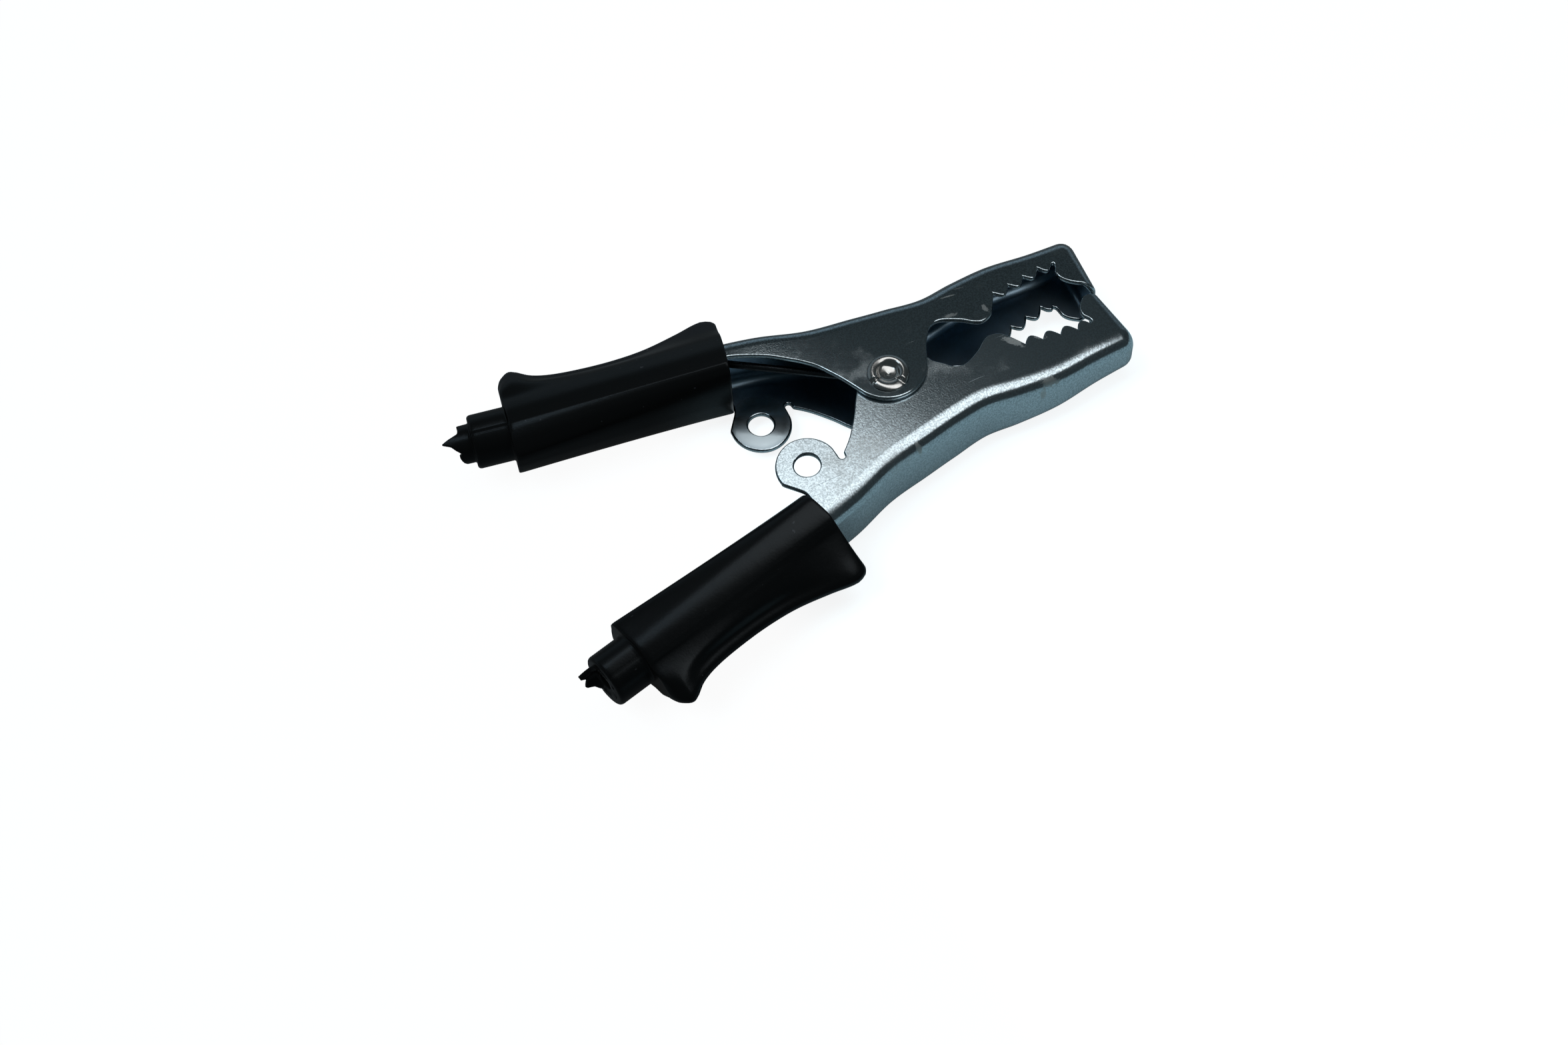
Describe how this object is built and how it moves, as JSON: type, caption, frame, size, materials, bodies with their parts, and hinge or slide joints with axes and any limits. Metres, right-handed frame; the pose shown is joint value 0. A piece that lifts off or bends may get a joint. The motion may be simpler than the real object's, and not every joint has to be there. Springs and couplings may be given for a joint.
{
  "type": "sprung earth clamp",
  "caption": "Sprung welding earth clamp: pressed steel toothed jaws on a hollow rivet, lugs for the cable's eye, soft black guarded grips with stepped cable nozzles.",
  "frame": {"origin": "bite point: on the front of the closed noses, in the middle plane between the jaws, at mid-width", "axes": "+X leaves the mouth, +Y towards the upper jaw, +Z along the rivet, towards its rolled head"},
  "size_m": [0.2166, 0.1358, 0.0328],
  "materials": {
    "plated_steel": "bright zinc plate with a fine orange peel",
    "rivet_steel": "satin, darker on its rolled collar",
    "spring_steel": "dull drawn wire",
    "grip_black": "satin soft black PVC"
  },
  "bodies": {
    "lower_half": {"lower_jaw": "plated_steel", "lower_grip": "grip_black", "pivot_rivet": "rivet_steel", "torsion_spring": "spring_steel"},
    "upper_half": {"upper_jaw": "plated_steel", "upper_grip": "grip_black"}
  },
  "joints": [
    {"name": "jaw_hinge", "type": "hinge", "parent": "lower_half", "child": "upper_half", "pos_m": [-0.07842, 0, 0], "axis": [0, 0, 1], "range_deg": [0, 30], "stiffness_Nm_per_rad": 4, "springref_deg": -34.38, "deforming": ["torsion_spring"]}
  ]
}
